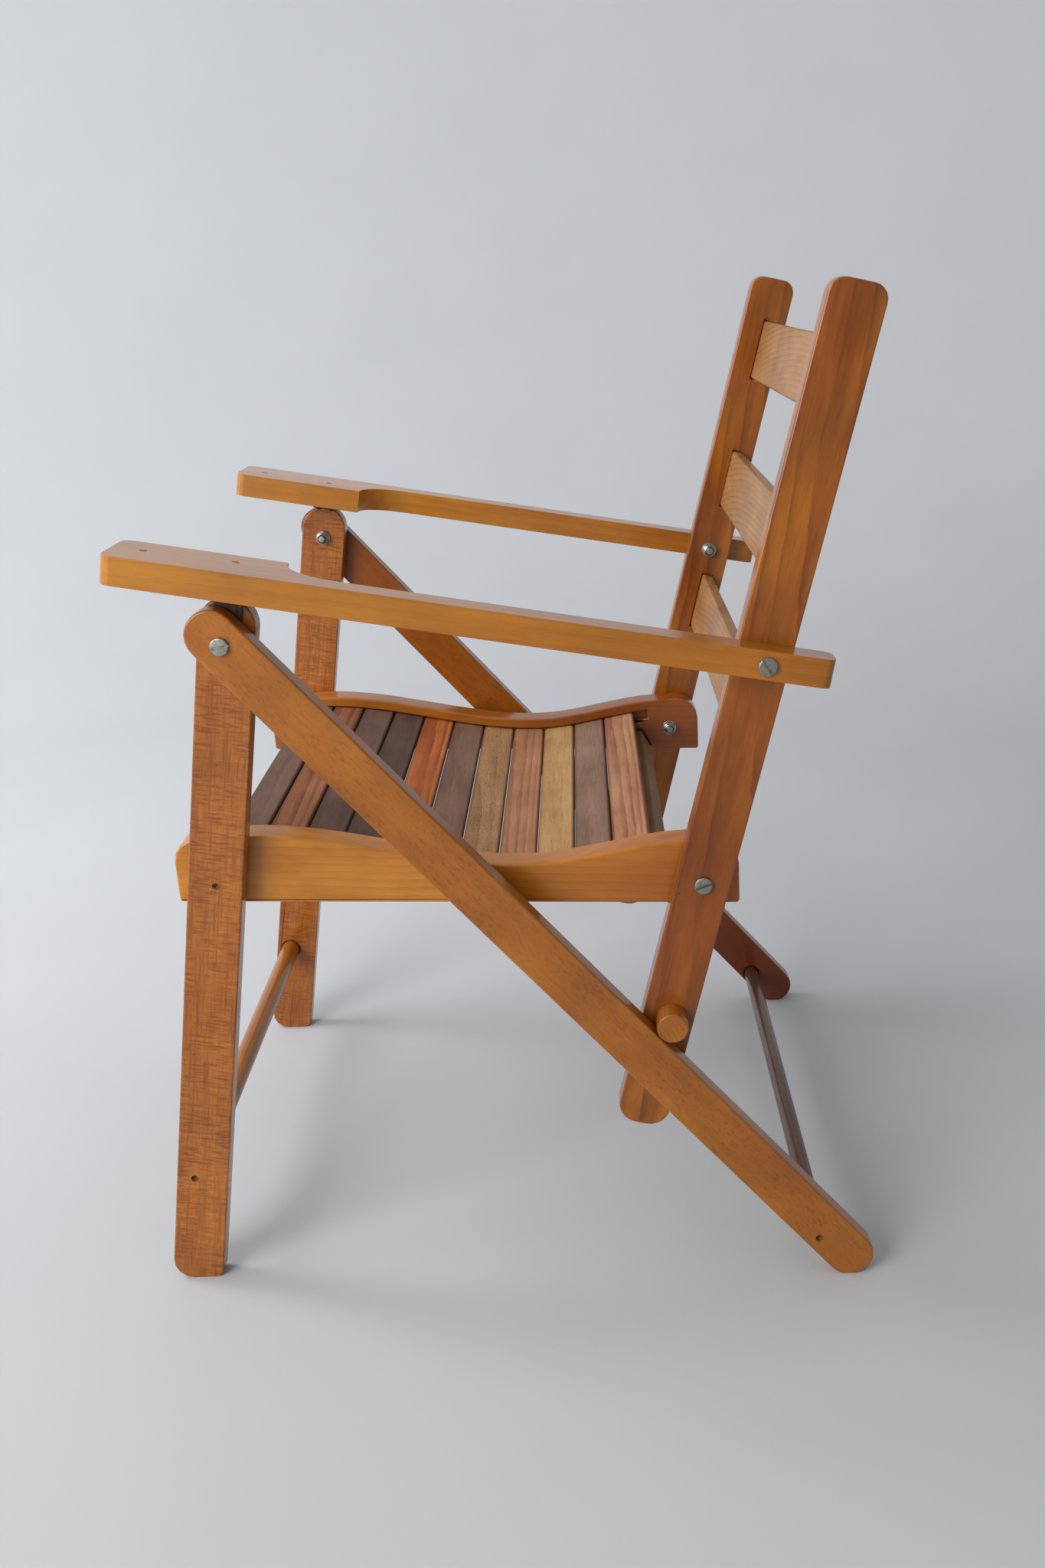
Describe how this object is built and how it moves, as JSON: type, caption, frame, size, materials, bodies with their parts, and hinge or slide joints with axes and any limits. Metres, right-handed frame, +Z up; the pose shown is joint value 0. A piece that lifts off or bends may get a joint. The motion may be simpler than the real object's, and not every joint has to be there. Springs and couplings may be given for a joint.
{
  "type": "folding armchair",
  "caption": "Wooden folding armchair with a scooped slatted seat, slatted back, sloping armrests and bolted pivots; seat, back, arms and rear frame fold down together behind the front legs.",
  "frame": {"origin": "on the floor, midway between the sides and midway between the front and rear of the open chair", "axes": "+X towards the sitter's left, -Y the way the sitter faces, +Z up"},
  "size_m": [0.5796, 0.6639, 0.8794],
  "materials": {
    "front_leg_wood": "satin varnish",
    "dowel_wood": "satin varnish",
    "dark_dowel_wood": "satin varnish",
    "rear_leg_wood": "satin varnish",
    "stile_wood": "satin varnish",
    "back_slat_wood": "satin varnish",
    "rail_wood": "satin varnish",
    "arm_wood": "gloss varnish",
    "zinc": "satin zinc plate",
    "bracket_steel": "darkened steel, satin",
    "seat_slat_01": "worn matt varnish",
    "seat_slat_02": "worn matt varnish",
    "seat_slat_03": "worn matt varnish",
    "seat_slat_04": "worn matt varnish",
    "seat_slat_05": "worn matt varnish",
    "seat_slat_06": "worn matt varnish",
    "seat_slat_07": "worn matt varnish",
    "seat_slat_08": "worn matt varnish",
    "seat_slat_09": "worn matt varnish",
    "seat_slat_10": "worn matt varnish",
    "seat_slat_11": "worn matt varnish",
    "seat_slat_12": "worn matt varnish"
  },
  "bodies": {
    "front_frame": {"front_leg_left": "front_leg_wood", "front_leg_right": "front_leg_wood", "front_stretcher": "dowel_wood", "front_stretcher_screw_left": "zinc", "front_stretcher_screw_right": "zinc", "leg_pivot_left_bolt": "zinc", "leg_pivot_left_nut": "zinc", "leg_pivot_left_washer": "zinc", "leg_pivot_right_bolt": "zinc", "leg_pivot_right_nut": "zinc", "leg_pivot_right_washer": "zinc", "seat_pivot_pin_left": "zinc", "seat_pivot_pin_right": "zinc"},
    "seat": {"seat_pivot_left_bolt": "zinc", "seat_pivot_left_nut": "zinc", "seat_pivot_left_washer": "zinc", "seat_pivot_right_bolt": "zinc", "seat_pivot_right_nut": "zinc", "seat_pivot_right_washer": "zinc", "seat_rail_left": "rail_wood", "seat_rail_right": "rail_wood", "seat_slat_01": "seat_slat_01", "seat_slat_02": "seat_slat_02", "seat_slat_03": "seat_slat_03", "seat_slat_04": "seat_slat_04", "seat_slat_05": "seat_slat_05", "seat_slat_06": "seat_slat_06", "seat_slat_07": "seat_slat_07", "seat_slat_08": "seat_slat_08", "seat_slat_09": "seat_slat_09", "seat_slat_10": "seat_slat_10", "seat_slat_11": "seat_slat_11", "seat_slat_12": "seat_slat_12"},
    "back": {"back_slat_1": "back_slat_wood", "back_slat_2": "back_slat_wood", "back_slat_3": "back_slat_wood", "back_stile_left": "stile_wood", "back_stile_right": "stile_wood", "stop_peg_left": "dowel_wood", "stop_peg_right": "dowel_wood"},
    "left_arm": {"arm_bracket_left": "bracket_steel", "arm_pivot_left_bolt": "zinc", "arm_pivot_left_nut": "zinc", "arm_pivot_left_washer": "zinc", "armrest_left": "arm_wood", "bracket_screw_1_left": "zinc", "bracket_screw_2_left": "zinc"},
    "right_arm": {"arm_bracket_right": "bracket_steel", "arm_pivot_right_bolt": "zinc", "arm_pivot_right_nut": "zinc", "arm_pivot_right_washer": "zinc", "armrest_right": "arm_wood", "bracket_screw_1_right": "zinc", "bracket_screw_2_right": "zinc"},
    "rear_frame": {"rear_leg_left": "rear_leg_wood", "rear_leg_right": "rear_leg_wood", "rear_stretcher": "dark_dowel_wood", "rear_stretcher_screw_left": "zinc", "rear_stretcher_screw_right": "zinc"}
  },
  "joints": [
    {"name": "seat_fold", "type": "hinge", "parent": "front_frame", "child": "seat", "pos_m": [0, -0.2396, 0.408], "axis": [-1, 0, 0], "range_deg": [0, 88]},
    {"name": "back_fold", "type": "hinge", "parent": "seat", "child": "back", "pos_m": [0, 0.1839, 0.39], "axis": [1, 0, 0], "range_deg": [0, 94]},
    {"name": "left_arm_fold", "type": "hinge", "parent": "front_frame", "child": "left_arm", "pos_m": [0, -0.2026, 0.627], "axis": [-1, 0, 0], "range_deg": [0, 86]},
    {"name": "right_arm_fold", "type": "hinge", "parent": "front_frame", "child": "right_arm", "pos_m": [0, -0.2026, 0.627], "axis": [-1, 0, 0], "range_deg": [0, 86]},
    {"name": "rear_frame_fold", "type": "hinge", "parent": "front_frame", "child": "rear_frame", "pos_m": [0, -0.2026, 0.627], "axis": [-1, 0, 0], "range_deg": [0, 56]}
  ],
  "couplings": [
    {"joint": "back_fold", "follows": "seat_fold", "ratio": 1.0559},
    {"joint": "left_arm_fold", "follows": "seat_fold", "ratio": 0.9707},
    {"joint": "right_arm_fold", "follows": "seat_fold", "ratio": 0.9707},
    {"joint": "rear_frame_fold", "follows": "seat_fold", "ratio": 0.63}
  ]
}
